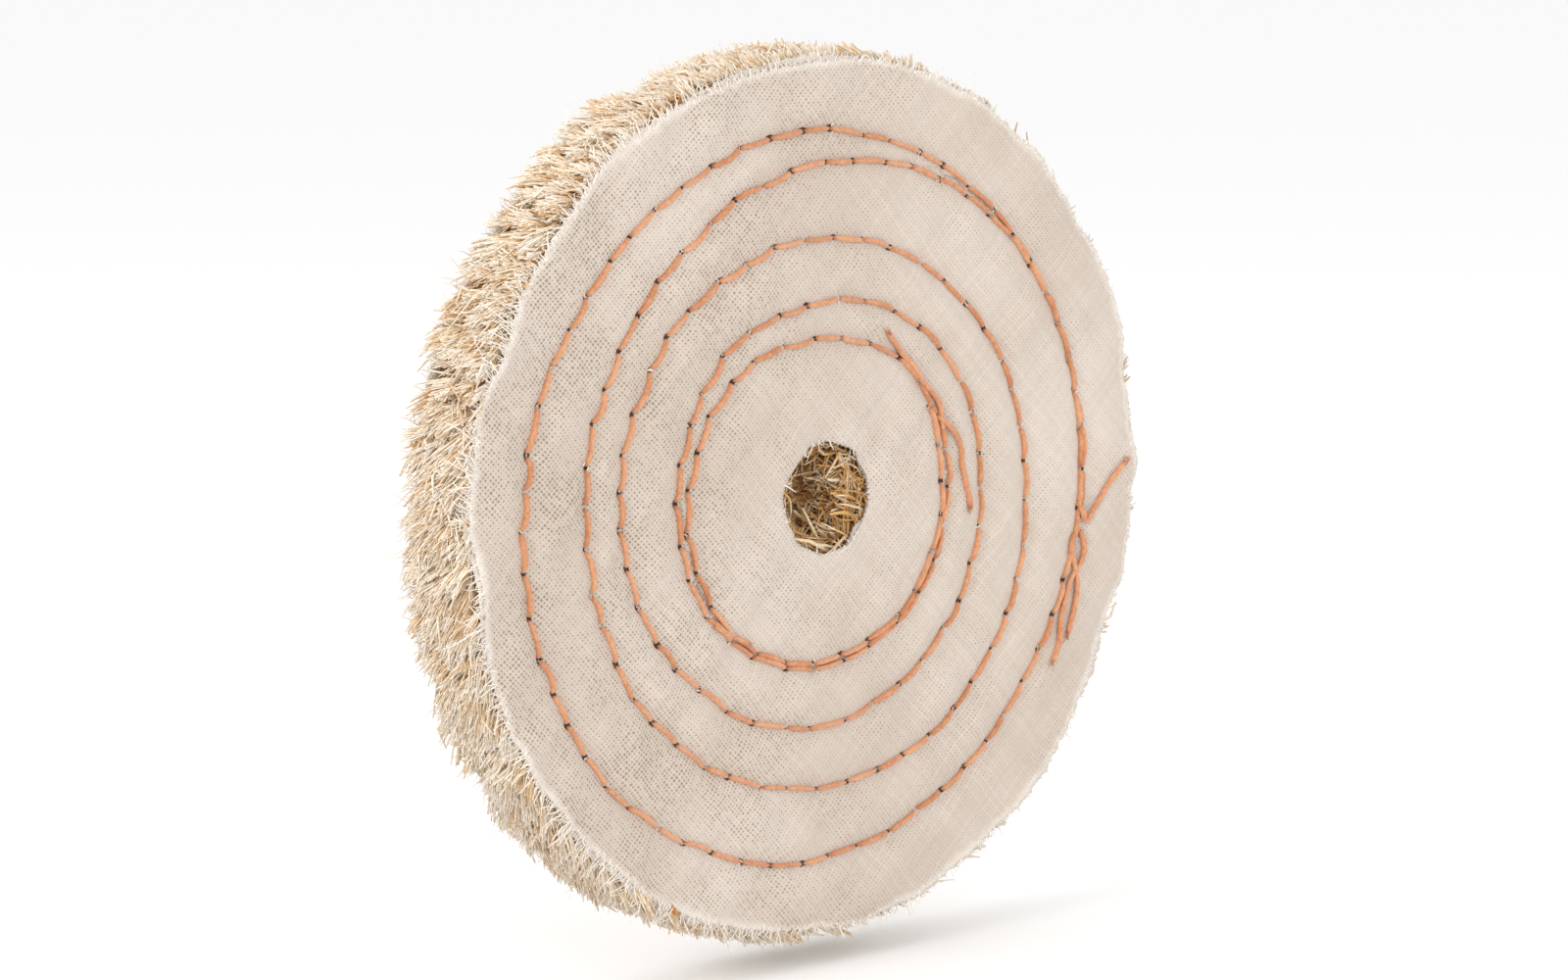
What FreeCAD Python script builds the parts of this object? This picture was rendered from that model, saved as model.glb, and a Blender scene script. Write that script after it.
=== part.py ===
import FreeCAD, Part
import math
import os

# Sewn sisal buffing wheel: plies of woven sisal between muslin discs, held together by one
# lockstitch seam that spirals out from the arbor hole. Millimetres. The wheel spins about Y:
# the front face looks along -Y and +Z is up. The origin is the middle of the arbor hole.

# Driving dimensions
bore_radius = 6.35            # half-inch arbor
wheel_radius = 51.5           # trimmed tips of the sisal at the rim
cover_inset = 1.2             # how far the muslin's edge stays inside the sisal's
sisal_thickness = 1.6         # one ply of woven sisal, pressed by the seam
sisal_count = 6
muslin_thickness = 0.35       # one ply of muslin
rim_round = 0.35              # softened edge of a sisal ply
thread_diameter = 0.8
stitch_length = 4.6
first_row_radius = 18.5       # innermost row of stitches
hem_width = 6.3               # muslin left outside the outermost row
seat_margin = 1.5             # from the flat centre, where the arbor's flanges clamp, to the first row
hole_clearance = 0.08         # thread to the wall of its needle hole, on each side
row_wall = 0.3                # cloth left between two rows that run side by side
leg_gap = 0.1                 # between a stitch's two legs in one needle hole
lock_gap = 0.1                # between the needle and bobbin loops at mid thickness

# The seam's way out, every 45 degrees clockwise from the top, as percent of the way from the first
# row to the last. SIDE_BY_SIDE is a stretch sewn again just outside the turn before it.
SIDE_BY_SIDE = None
seam_step = 45.0
seam_way = [
    1.5, 1, 2, 3, 7.5, 9, 5.5, 0.5,
    SIDE_BY_SIDE, SIDE_BY_SIDE, SIDE_BY_SIDE, SIDE_BY_SIDE, SIDE_BY_SIDE, 15, 17, 16.5,
    22.5, 25.5, 29, 32, 37.5, 46.5, 47, 44.5,
    48, 54.5, 61.5, 61.5, 63, 66, 68.5, 78,
    89, 93.5, 88, 94.5, 98.5, 100, 94.5, 93.5,
    SIDE_BY_SIDE, SIDE_BY_SIDE, SIDE_BY_SIDE,
]
seam_first_angle = 60.0
seam_last_angle = 1899.0

# Loose ends on the front face: (degrees clockwise from the top, mm out from the seam's own row)
needle_start_tail = [(66, 0.6), (75, 1.5), (85, 2.6), (98, 3.9)]
bobbin_start_tail = [(48, 0.2), (40, 0.9), (28, 1.8)]
needle_end_tail = [(96, 1.8), (90, 5.6)]
bobbin_end_tail = [(106, 0.1), (112, 0.0), (117, 0.2), (122, 0.8)]
caught_thread_route = [(101, 1.1), (106, 1.1), (112, 1.3), (117, 1.2)]

# Worked out from the driving dimensions
cover_radius = wheel_radius - cover_inset
last_row_radius = cover_radius - hem_width
flange_seat_radius = first_row_radius - seat_margin
thread_radius = thread_diameter / 2
leg_offset = thread_radius + leg_gap / 2
corner_radius = thread_radius + leg_gap
slot_width = thread_diameter + 2 * hole_clearance
slot_half_length = leg_offset + corner_radius + hole_clearance
row_gap = slot_width + row_wall
half_stack = sisal_count * sisal_thickness / 2 + 2 * muslin_thickness
loop_bottom = lock_gap / 2 + thread_radius      # a loop's centreline, from mid thickness
run_height = half_stack + thread_radius         # a stitch's centreline, from mid thickness
over_row = thread_diameter + hole_clearance     # a loose end crosses the seam on top of it
bobbin_hole_offset = 2 * slot_half_length + row_wall    # from the seam's end holes to the bobbin's own


def seam_anchors():
    """Radius at each step of the seam, in mm."""
    steps_in_turn = int(round(360 / seam_step))
    radii = []
    for i, way in enumerate(seam_way):
        if way is SIDE_BY_SIDE:
            radii.append(radii[i - steps_in_turn] + row_gap)
        else:
            radii.append(first_row_radius + way / 100 * (last_row_radius - first_row_radius))
    return radii


anchors = seam_anchors()


def seam_radius(angle):
    """Smooth radius of the seam at an angle counted on from turn to turn, never closer than
    row_gap to the turn before."""
    place = min(max(angle / seam_step - 1, 0), len(anchors) - 1.001)
    i = int(place)
    t = place - i
    before = anchors[max(i - 1, 0)]
    after = anchors[min(i + 2, len(anchors) - 1)]
    a, b = anchors[i], anchors[i + 1]
    radius = 0.5 * (
        2 * a
        + (b - before) * t
        + (2 * before - 5 * a + 4 * b - after) * t * t
        + (3 * a - before - 3 * b + after) * t ** 3
    )
    if angle - 360 < seam_step:
        return radius
    return max(radius, seam_radius(angle - 360) + row_gap)


def on_face(angle, radius):
    """A point of the wheel's face as (x, z)."""
    turn = math.radians(angle)
    return (radius * math.sin(turn), radius * math.cos(turn))


def seam_places():
    """Angles along the seam where the needle goes in, stitch_length apart."""
    fine = 0.25
    angles = [seam_first_angle]
    here = on_face(angles[0], seam_radius(angles[0]))
    walked = 0.0
    angle = seam_first_angle
    while angle < seam_last_angle:
        angle += fine
        there = on_face(angle, seam_radius(angle))
        walked += math.dist(here, there)
        here = there
        if walked >= stitch_length:
            angles.append(angle)
            walked = 0.0
    return angles


def seam_direction(angle):
    """Unit direction of the seam at an angle, as (x, z)."""
    reach = 0.5
    a = on_face(angle - reach, seam_radius(angle - reach))
    b = on_face(angle + reach, seam_radius(angle + reach))
    length = math.dist(a, b)
    return ((b[0] - a[0]) / length, (b[1] - a[1]) / length)


def angle_along(angle, distance):
    """The angle reached by going a distance along the seam."""
    return angle + math.degrees(distance / seam_radius(angle))


needle_holes = seam_places()
bobbin_up_hole = angle_along(needle_holes[0], -bobbin_hole_offset)
bobbin_end_hole = angle_along(needle_holes[-1], bobbin_hole_offset)
last_turn = int(seam_last_angle // 360)
all_holes = [bobbin_up_hole] + needle_holes + [bobbin_end_hole]


def place_of(angle):
    return on_face(angle, seam_radius(angle))


def needle_slot(angle, y):
    """Wire of one needle hole: a slot along the seam that clears both legs of a stitch."""
    cx, cz = place_of(angle)
    dx, dz = seam_direction(angle)
    half_width = slot_width / 2
    half_straight = slot_half_length - half_width

    def at(along, across):
        return FreeCAD.Vector(cx + dx * along - dz * across, y, cz + dz * along + dx * across)

    return Part.Wire([
        Part.LineSegment(at(-half_straight, half_width), at(half_straight, half_width)).toShape(),
        Part.Arc(
            at(half_straight, half_width), at(slot_half_length, 0), at(half_straight, -half_width)
        ).toShape(),
        Part.LineSegment(at(half_straight, -half_width), at(-half_straight, -half_width)).toShape(),
        Part.Arc(
            at(-half_straight, -half_width), at(-slot_half_length, 0), at(-half_straight, half_width)
        ).toShape(),
    ])


def circle(radius, y):
    centre = FreeCAD.Vector(0, y, 0)
    return Part.Wire([Part.Circle(centre, FreeCAD.Vector(0, 1, 0), radius).toShape()])


def pierced_disc(outer, inner, y, thickness, holes):
    """A flat ring with needle holes, from y to y + thickness."""
    wires = [circle(outer, y), circle(inner, y)] + [needle_slot(a, y) for a in holes]
    face = Part.makeFace(wires, "Part::FaceMakerBullseye")
    return face.extrude(FreeCAD.Vector(0, thickness, 0))


def sisal_ply(y):
    """One ply of sisal cloth with its rim softened on both edges."""
    disc = pierced_disc(wheel_radius, bore_radius, y, sisal_thickness, all_holes)
    rims = [
        e for e in disc.Edges
        if hasattr(e.Curve, "Radius") and abs(e.Curve.Radius - wheel_radius) < 1e-6
    ]
    return disc.makeFillet(min(rim_round, sisal_thickness / 3), rims)


def muslin_ply(y):
    return pierced_disc(cover_radius, bore_radius, y, muslin_thickness, all_holes)


def seated_cover(y):
    """An outer muslin ply, its flat flange seat marked off as a face of its own."""
    seat = pierced_disc(flange_seat_radius, bore_radius, y, muslin_thickness, [])
    rest = pierced_disc(cover_radius, flange_seat_radius, y, muslin_thickness, all_holes)
    return seat.fuse(rest)


def rounded_path(corners):
    """Wire through (point, radius) corners: straight runs joined by tangent arcs."""
    tiny = 1e-6
    edges = []
    last = corners[0][0]
    for i in range(1, len(corners) - 1):
        point, radius = corners[i]
        back = (corners[i - 1][0] - point).normalize()
        on = (corners[i + 1][0] - point).normalize()
        turn = math.pi - back.getAngle(on)
        if turn < 1e-4:
            continue
        reach = radius * math.tan(turn / 2)
        start = point + back * reach
        end = point + on * reach
        middle = (back + on).normalize()
        centre = point + middle * (radius / math.cos(turn / 2))
        crown = centre - middle * radius
        if (start - last).Length > tiny:
            edges.append(Part.LineSegment(last, start).toShape())
        edges.append(Part.Arc(start, crown, end).toShape())
        last = end
    if (corners[-1][0] - last).Length > tiny:
        edges.append(Part.LineSegment(last, corners[-1][0]).toShape())
    return Part.Wire(edges)


def swept_thread(corners):
    """Solid thread along a rounded path."""
    path = rounded_path(corners)
    start = corners[0][0]
    heading = (corners[1][0] - start).normalize()
    section = Part.Wire([Part.Circle(start, heading, thread_radius).toShape()])
    return path.makePipeShell([section], True, False)


def tail_corners(tail, turns, height):
    """Corners of a loose end on the front face, beside the row that is so many turns along."""
    points = []
    for angle, out in tail:
        x, z = on_face(angle, seam_radius(360 * turns + angle) + out)
        points.append(FreeCAD.Vector(x, -height, z))
    corners = [(points[0], corner_radius)]
    for before, point, after in zip(points, points[1:], points[2:]):
        shorter = min((before - point).Length, (after - point).Length)
        turn = math.pi - (before - point).getAngle(after - point)
        corners.append((point, 0.45 * shorter / math.tan(turn / 2)))
    corners.append((points[-1], corner_radius))
    return corners


def stitch_corners(side):
    """Corners of one thread's stitches: side is -1 for the needle thread in front, 1 for the bobbin."""
    def at(place, y):
        return FreeCAD.Vector(place[0], y, place[1])

    corners = []
    for angle in needle_holes:
        cx, cz = place_of(angle)
        dx, dz = seam_direction(angle)
        before = (cx - dx * leg_offset, cz - dz * leg_offset)
        after = (cx + dx * leg_offset, cz + dz * leg_offset)
        corners.append((at(before, side * run_height), corner_radius))
        corners.append((at(before, side * loop_bottom), leg_offset))
        corners.append((at(after, side * loop_bottom), leg_offset))
        corners.append((at(after, side * run_height), corner_radius))
    return corners


def needle_thread():
    """The thread that shows in front, from one loose end to the other."""
    start = list(reversed(tail_corners(needle_start_tail, 0, run_height + over_row)))
    end = tail_corners(needle_end_tail, last_turn, run_height + over_row)
    stitches = stitch_corners(-1)
    stitches[0] = raised(stitches[0])
    stitches[-1] = raised(stitches[-1])
    return swept_thread(start + stitches + end)


def raised(corner):
    """A corner on the front face, lifted to where a loose end clears the seam."""
    point, radius = corner
    return (FreeCAD.Vector(point.x, point.y - over_row, point.z), radius)


def bobbin_thread():
    """The thread that shows behind. Both its ends are drawn up through the wheel to the front."""
    def at(angle, y):
        x, z = place_of(angle)
        return (FreeCAD.Vector(x, y, z), corner_radius)

    start = list(reversed(tail_corners(bobbin_start_tail, 0, run_height + over_row)))
    start += [at(bobbin_up_hole, -run_height - over_row), at(bobbin_up_hole, run_height)]
    end = [at(bobbin_end_hole, run_height), at(bobbin_end_hole, -run_height)]
    end += tail_corners(bobbin_end_tail, last_turn, run_height)
    return swept_thread(start + stitch_corners(1) + end)


def caught_thread():
    """A cut end of thread that lies beside the end of the seam."""
    return swept_thread(tail_corners(caught_thread_route, last_turn, run_height))


def build():
    """Every node of the wheel, front to back."""
    nodes = {}
    y = -half_stack
    nodes["front_cover"] = seated_cover(y)
    y += muslin_thickness
    nodes["front_lining"] = muslin_ply(y)
    y += muslin_thickness
    for i in range(sisal_count):
        nodes["sisal_ply_%d" % (i + 1)] = sisal_ply(y)
        y += sisal_thickness
    nodes["back_lining"] = muslin_ply(y)
    y += muslin_thickness
    nodes["back_cover"] = seated_cover(y)
    nodes["needle_thread"] = needle_thread()
    nodes["bobbin_thread"] = bobbin_thread()
    nodes["caught_thread"] = caught_thread()
    return nodes


os.makedirs("parts", exist_ok=True)
for name, shape in build().items():
    shape.exportStep("parts/%s.step" % name)
    print(name, "solids", len(shape.Solids), "valid", shape.isValid(), "volume", round(shape.Volume, 1))
print("needle holes", len(needle_holes))
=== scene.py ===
import math
import bpy
import numpy as np
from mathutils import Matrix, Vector


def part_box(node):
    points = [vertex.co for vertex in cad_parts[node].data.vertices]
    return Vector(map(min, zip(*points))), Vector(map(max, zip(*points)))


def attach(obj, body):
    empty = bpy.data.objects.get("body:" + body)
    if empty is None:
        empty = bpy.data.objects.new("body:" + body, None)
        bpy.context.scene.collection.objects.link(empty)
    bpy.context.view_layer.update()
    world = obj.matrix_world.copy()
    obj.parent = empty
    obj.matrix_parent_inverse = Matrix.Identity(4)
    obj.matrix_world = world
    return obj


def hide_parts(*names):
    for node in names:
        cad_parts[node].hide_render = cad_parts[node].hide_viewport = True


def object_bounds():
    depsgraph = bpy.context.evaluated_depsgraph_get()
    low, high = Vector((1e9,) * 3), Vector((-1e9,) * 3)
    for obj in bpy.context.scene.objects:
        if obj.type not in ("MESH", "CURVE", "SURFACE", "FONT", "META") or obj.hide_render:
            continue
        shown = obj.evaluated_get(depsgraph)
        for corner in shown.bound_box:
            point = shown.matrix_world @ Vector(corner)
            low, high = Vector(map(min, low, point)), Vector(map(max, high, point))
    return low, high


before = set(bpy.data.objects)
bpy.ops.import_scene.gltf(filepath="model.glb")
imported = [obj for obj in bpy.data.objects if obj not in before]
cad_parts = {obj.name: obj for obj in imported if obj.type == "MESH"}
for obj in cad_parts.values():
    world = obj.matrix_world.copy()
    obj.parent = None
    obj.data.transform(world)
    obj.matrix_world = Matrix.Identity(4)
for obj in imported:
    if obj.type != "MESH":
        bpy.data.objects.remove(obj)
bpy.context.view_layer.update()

mm = 0.001
nodeNames = sorted(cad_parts)
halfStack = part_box("back_cover")[1][1] / mm  # 5.5, outer face of the covers
coverThick = (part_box("back_cover")[1][1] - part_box("back_cover")[0][1]) / mm
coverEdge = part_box("front_cover")[1][0] / mm
print("stage: frame loaded,", len(nodeNames), "nodes")


# small helpers on whole arrays

def smoothNoise(x, z, size, seed):
    # sum of eight sine waves in random directions, of wavelength about size: sum sin(k.p + phase) / 2.8
    rng = np.random.default_rng(seed)
    turn = rng.uniform(0, 2 * np.pi, 8)
    wave = 2 * np.pi / (size * rng.uniform(0.7, 1.4, 8))
    phase = rng.uniform(0, 2 * np.pi, 8)
    total = np.zeros(np.shape(x))
    for a, k, p in zip(turn, wave, phase):
        total = total + np.sin(k * (np.cos(a) * x + np.sin(a) * z) + p)
    return total / 2.8


def onFace(degrees, radius):
    # (x, z) of a point at degrees clockwise from the top seen from the front, at radius
    turn = np.radians(degrees)
    return radius * np.sin(turn), radius * np.cos(turn)


def unit(v):
    # v / |v| along the last axis
    return v / np.maximum(np.linalg.norm(v, axis=-1, keepdims=True), 1e-9)


def meshPiece(name, verts, faceSets, material, uvSets):
    # verts (n, 3) in mm, faceSets a list of (count, corners) index arrays, uvSets {map: [(count, corners, 2)...]}
    mesh = bpy.data.meshes.new(name)
    mesh.vertices.add(len(verts))
    mesh.vertices.foreach_set("co", (np.asarray(verts) * mm).astype(np.float32).ravel())
    loops = np.concatenate([f.ravel() for f in faceSets]).astype(np.int32)
    sizes = np.concatenate([np.full(len(f), f.shape[1]) for f in faceSets])
    mesh.loops.add(len(loops))
    mesh.loops.foreach_set("vertex_index", loops)
    mesh.polygons.add(len(sizes))
    starts = np.concatenate([[0], np.cumsum(sizes)[:-1]]).astype(np.int32)
    mesh.polygons.foreach_set("loop_start", starts)
    mesh.update(calc_edges=True)
    for mapName, parts in uvSets.items():
        layer = mesh.uv_layers.new(name=mapName)
        flat = np.concatenate([p.reshape(-1, 2) for p in parts]).astype(np.float32)
        layer.data.foreach_set("uv", flat.ravel())
    mesh.polygons.foreach_set("use_smooth", np.full(len(sizes), True))
    mesh.materials.append(material)
    piece = bpy.data.objects.new(name, mesh)
    bpy.context.scene.collection.objects.link(piece)
    return piece


def strands(paths, radii, sides, across, lobes=0.0, lobeCount=5, twist=0.0, flat=1.0, seed=1):
    # a closed tube along each path: path(t) + r(t) * (1 + lobes * cos(lobeCount * a + twist * t + phase)) * ring(a)
    # paths (n, k, 3), radii (n, k), across (n, 3) a direction never along the path. Returns verts, quads, caps.
    rng = np.random.default_rng(seed)
    n, k, _ = paths.shape
    tangent = unit(np.gradient(paths, axis=1))
    side = unit(np.cross(tangent, np.broadcast_to(across[:, None, :], paths.shape)))
    up = np.cross(side, tangent)
    a = np.arange(sides) * 2 * np.pi / sides
    phase = rng.uniform(0, 2 * np.pi, (n, 1, 1))
    t = np.linspace(0, 1, k)[None, :, None]
    grow = 1 + lobes * np.cos(lobeCount * a[None, None, :] + twist * t + phase)
    ring = (
        np.cos(a)[None, None, :, None] * side[:, :, None, :]
        + flat * np.sin(a)[None, None, :, None] * up[:, :, None, :]
    )
    verts = paths[:, :, None, :] + (radii[:, :, None] * grow)[..., None] * ring
    index = np.arange(n * k * sides).reshape(n, k, sides)
    nxt = np.roll(index, -1, axis=2)
    quads = np.stack([index[:, :-1], nxt[:, :-1], nxt[:, 1:], index[:, 1:]], -1).reshape(-1, 4)
    caps = np.concatenate([index[:, 0, ::-1], index[:, -1, :]])
    return verts.reshape(-1, 3), quads, caps


def strandMaps(n, k, sides, tone, along=None):
    # per-corner maps of strands(): "strand" is (along, tone), "OFBake" gives each strand its own cell
    along = np.broadcast_to(np.linspace(0, 1, k), (n, k)) if along is None else along
    cols = int(math.ceil(math.sqrt(n / 2.5)))
    rows = int(math.ceil(n / cols))
    cellU = (np.arange(n) % cols)[:, None, None]
    cellV = (np.arange(n) // cols)[:, None, None]
    kk = np.arange(k - 1)[None, :, None]
    ss = np.arange(sides)[None, None, :]

    def corner(dk, ds):
        u = np.broadcast_to(along[:, dk:k - 1 + dk, None], (n, k - 1, sides))
        v = np.broadcast_to(tone[:, None, None], (n, k - 1, sides))
        bu = (cellU + 0.06 + 0.8 * (kk + dk) / (k - 1) + 0 * ss) / cols
        bv = (cellV + 0.06 + 0.88 * (ss + ds) / sides + 0 * kk) / rows
        return np.stack([u, v], -1), np.stack([bu, bv], -1)

    fours = [corner(0, 0), corner(0, 1), corner(1, 1), corner(1, 0)]
    strandQuads = np.stack([c[0] for c in fours], 3).reshape(-1, 4, 2)
    bakeQuads = np.stack([c[1] for c in fours], 3).reshape(-1, 4, 2)
    a = np.arange(sides) * 2 * np.pi / sides
    ring = np.stack([np.cos(a), np.sin(a)], -1) * 0.03
    capUv, capBake = [], []
    for end, place in ((0, 0.25), (k - 1, 0.75)):
        capUv.append(np.stack(np.broadcast_arrays(along[:, end, None], tone[:, None] + 0 * a), -1))
        middle = np.stack([(cellU[:, 0] + 0.93) / cols + 0 * a, (cellV[:, 0] + place) / rows + 0 * a], -1)
        capBake.append(middle + ring / np.array([cols, rows]))
    return {
        "strand": [strandQuads, np.concatenate(capUv)],
        "OFBake": [bakeQuads, np.concatenate(capBake)],
    }


def joined(parts):
    # several (verts, [quads, caps...], maps, share) sets as one mesh's arrays, their OFBake cells side by side
    verts, faces, maps = [], [], {}
    base, left, total = 0, 0.0, sum(p[3] for p in parts)
    for v, fs, m, share in parts:
        width = share / total
        verts.append(v)
        faces += [f + base for f in fs]
        for key, sets in m.items():
            for s in sets:
                if key == "OFBake":
                    s = s * np.array([width, 1.0]) + np.array([left, 0.0])
                maps.setdefault(key, []).append(s)
        base += len(v)
        left += width
    return np.concatenate(verts), faces, maps


# materials

def linear(hexColour):
    # sRGB hex to linear: ((c + 0.055) / 1.055) ** 2.4 above the toe
    c = [int(hexColour[i:i + 2], 16) / 255 for i in (1, 3, 5)]
    return [x / 12.92 if x <= 0.04045 else ((x + 0.055) / 1.055) ** 2.4 for x in c] + [1.0]


def addNode(tree, kind, links=None, **settings):
    # adds a node; links is {input: socket or value}, settings are the node's own properties
    node = tree.nodes.new(kind)
    for key, value in settings.items():
        setattr(node, key, value)
    for key, value in (links or {}).items():
        if isinstance(value, bpy.types.NodeSocket):
            tree.links.new(value, node.inputs[key])
        else:
            node.inputs[key].default_value = value
    return node


def newMaterial(name):
    material = bpy.data.materials.new(name)
    material.use_nodes = True
    tree = material.node_tree
    tree.nodes.clear()
    shader = addNode(tree, "ShaderNodeBsdfPrincipled")
    addNode(tree, "ShaderNodeOutputMaterial", {"Surface": shader.outputs[0]})
    return material, tree, shader


def maths(tree, operation, a, b=0.0, c=0.0):
    links = {0: a, 1: b, 2: c}
    return addNode(tree, "ShaderNodeMath", links, operation=operation).outputs[0]


def between(tree, value, low, high, out0, out1, kind="SMOOTHSTEP"):
    links = {"Value": value, "From Min": low, "From Max": high, "To Min": out0, "To Max": out1}
    return addNode(tree, "ShaderNodeMapRange", links, interpolation_type=kind).outputs[0]


def blendColour(tree, factor, a, b, kind="MIX"):
    node = addNode(tree, "ShaderNodeMix", data_type="RGBA", blend_type=kind)
    for key, value in ((0, factor), (6, a), (7, b)):
        if isinstance(value, bpy.types.NodeSocket):
            tree.links.new(value, node.inputs[key])
        else:
            node.inputs[key].default_value = value
    return node.outputs[2]


muslinSettings = {
    "threadPitch": 0.47,     # mm, about 54 threads to the inch
    "turnDegrees": 44.0,     # the weave lies across the wheel
    "cotton": "#C8B9AB",
    "cottonLight": "#D8CDC2",
    # painted shade: the dark brown of the gaps between the yarns
    "poreShade": "#7A6446",
    "fray": "#E6DED5",
    # painted shade: the dark of each needle hole
    "needleHoleShade": "#3B2614",
}


def makeMuslin(name):
    # unbleached cotton muslin: plain weave, so warp = |sin pi u| (0.62 + 0.38 S), weft = |sin pi v| (0.62 - 0.38 S),
    # S = sin pi u sin pi v, and the pores are where both are low, painted dark brown as painted shade; soft, matt,
    # slightly fuzzy to the eye
    s = muslinSettings
    material, tree, shader = newMaterial(name)
    place = addNode(tree, "ShaderNodeTexCoord").outputs["Object"]
    wander = addNode(tree, "ShaderNodeTexNoise", {"Vector": place, "Scale": 210.0, "Detail": 2.0}).outputs["Color"]
    turned = addNode(tree, "ShaderNodeMapping", {
        "Vector": place,
        "Rotation": (0, math.radians(s["turnDegrees"]), 0),
        "Scale": (1 / (s["threadPitch"] * mm),) * 3,
    }).outputs[0]
    shift = addNode(tree, "ShaderNodeVectorMath", {0: wander, 1: (0.5, 0.5, 0.5)}, operation="SUBTRACT").outputs[0]
    shift = addNode(tree, "ShaderNodeVectorMath", {0: shift, "Scale": 1.5}, operation="SCALE").outputs[0]
    woven = addNode(tree, "ShaderNodeVectorMath", {0: turned, 1: shift}, operation="ADD").outputs[0]
    apart = addNode(tree, "ShaderNodeSeparateXYZ", {0: woven})
    u, v = apart.outputs["X"], apart.outputs["Z"]
    sinU = maths(tree, "SINE", maths(tree, "MULTIPLY", u, math.pi))
    sinV = maths(tree, "SINE", maths(tree, "MULTIPLY", v, math.pi))
    over = maths(tree, "MULTIPLY", sinU, sinV)
    warp = maths(tree, "MULTIPLY", maths(tree, "ABSOLUTE", sinU), maths(tree, "MULTIPLY_ADD", over, 0.38, 0.62))
    weft = maths(tree, "MULTIPLY", maths(tree, "ABSOLUTE", sinV), maths(tree, "MULTIPLY_ADD", over, -0.38, 0.62))
    height = maths(tree, "MAXIMUM", warp, weft)
    patch = addNode(tree, "ShaderNodeTexNoise", {"Vector": place, "Scale": 120.0, "Detail": 3.0}).outputs[0]
    openness = between(tree, patch, 0.30, 0.70, 0.36, 0.66)
    corner = {"X": maths(tree, "ROUND", u), "Y": maths(tree, "ROUND", v)}
    cell = addNode(tree, "ShaderNodeCombineXYZ", corner).outputs[0]
    chance = addNode(tree, "ShaderNodeTexWhiteNoise", {"Vector": cell}, noise_dimensions="3D").outputs[0]
    uneven = maths(tree, "MULTIPLY_ADD", chance, 0.7, 0.6)      # no two pores alike
    openness = maths(tree, "MULTIPLY", openness, uneven)
    across = addNode(tree, "ShaderNodeSeparateXYZ", {0: place}).outputs["X"]
    paintedSideShade = between(tree, across, -0.04, 0.035, 1.1, 0.62)    # painted light and shade: pores open wider on the left and close up towards the right, so the right is painted paler
    openness = maths(tree, "MULTIPLY", openness, paintedSideShade)
    nearMap = addNode(tree, "ShaderNodeUVMap", uv_map="near").outputs[0]
    nearApart = addNode(tree, "ShaderNodeSeparateXYZ", {0: nearMap})
    inside = maths(tree, "ADD", nearApart.outputs["Y"], maths(tree, "MULTIPLY_ADD", patch, 1.6, -0.8))
    frayed = between(tree, inside, 0.0, 1.2, 0.7, 0.0)      # yarns loosen and pale towards the cut edge
    openness = maths(tree, "MULTIPLY", openness, maths(tree, "SUBTRACT", 1.0, frayed))
    openness = maths(tree, "MAXIMUM", openness, 0.02)
    cloth = between(tree, height, 0.0, openness, 0.0, 1.0)
    yarnTones = [
        addNode(tree, "ShaderNodeTexWhiteNoise", {"W": maths(tree, "FLOOR", w)}, noise_dimensions="1D").outputs[0]
        for w in (u, v)
    ]
    tone = maths(tree, "MULTIPLY", maths(tree, "ADD", *yarnTones), 0.5)
    blotch = addNode(tree, "ShaderNodeTexNoise", {"Vector": place, "Scale": 38.0, "Detail": 4.0}).outputs[0]
    mixed = maths(tree, "MULTIPLY_ADD", tone, 0.22, maths(tree, "MULTIPLY", blotch, 0.85))
    pale = between(tree, mixed, 0.3, 0.85, 0.0, 1.0)
    cotton = blendColour(tree, pale, linear(s["cotton"]), linear(s["cottonLight"]))
    cotton = blendColour(tree, frayed, cotton, linear(s["fray"]))
    # painted shade: the gaps between the yarns are painted dark brown, standing in for the shade seen through them
    colour = blendColour(tree, cloth, linear(s["poreShade"]), cotton)
    # painted shade: a dark brown spot at each needle hole, standing in for the shade in the hole
    seamMap = addNode(tree, "ShaderNodeUVMap", uv_map="seam").outputs[0]
    seamApart = addNode(tree, "ShaderNodeSeparateXYZ", {0: seamMap})
    stitchPart = maths(tree, "PINGPONG", seamApart.outputs["X"], 0.5)
    along = maths(tree, "MULTIPLY", stitchPart, seam["stitch"] / 0.72)
    aside = maths(tree, "DIVIDE", seamApart.outputs["Y"], 0.40)
    rough = addNode(tree, "ShaderNodeTexNoise", {"Vector": place, "Scale": 1500.0, "Detail": 2.0}).outputs[0]
    spot = maths(tree, "ADD", maths(tree, "MULTIPLY", along, along), maths(tree, "MULTIPLY", aside, aside))
    spot = maths(tree, "ADD", spot, maths(tree, "MULTIPLY_ADD", rough, 1.6, -0.8))
    which = maths(tree, "ROUND", seamApart.outputs["X"])
    size = addNode(tree, "ShaderNodeTexWhiteNoise", {"W": which}, noise_dimensions="1D").outputs[0]
    opened = maths(tree, "MULTIPLY_ADD", size, 1.0, 0.25)       # some holes closed up again
    spot = maths(tree, "DIVIDE", spot, opened)
    hole = between(tree, spot, 0.55, 1.2, 1.0, 0.0)
    hole = maths(tree, "MULTIPLY", hole, between(tree, nearApart.outputs["X"], 0.5, 0.75, 1.0, 0.0))
    colour = blendColour(tree, hole, colour, linear(s["needleHoleShade"]))
    tree.links.new(colour, shader.inputs["Base Color"])
    relief = maths(tree, "MULTIPLY", height, maths(tree, "SUBTRACT", 1.0, hole))
    bump = addNode(tree, "ShaderNodeBump", {"Height": relief, "Strength": 0.55, "Distance": 0.00016}).outputs[0]
    tree.links.new(bump, shader.inputs["Normal"])
    shader.inputs["Roughness"].default_value = 0.92
    shader.inputs["Sheen Weight"].default_value = 0.15
    shader.inputs["Sheen Roughness"].default_value = 0.6
    return material


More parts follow.
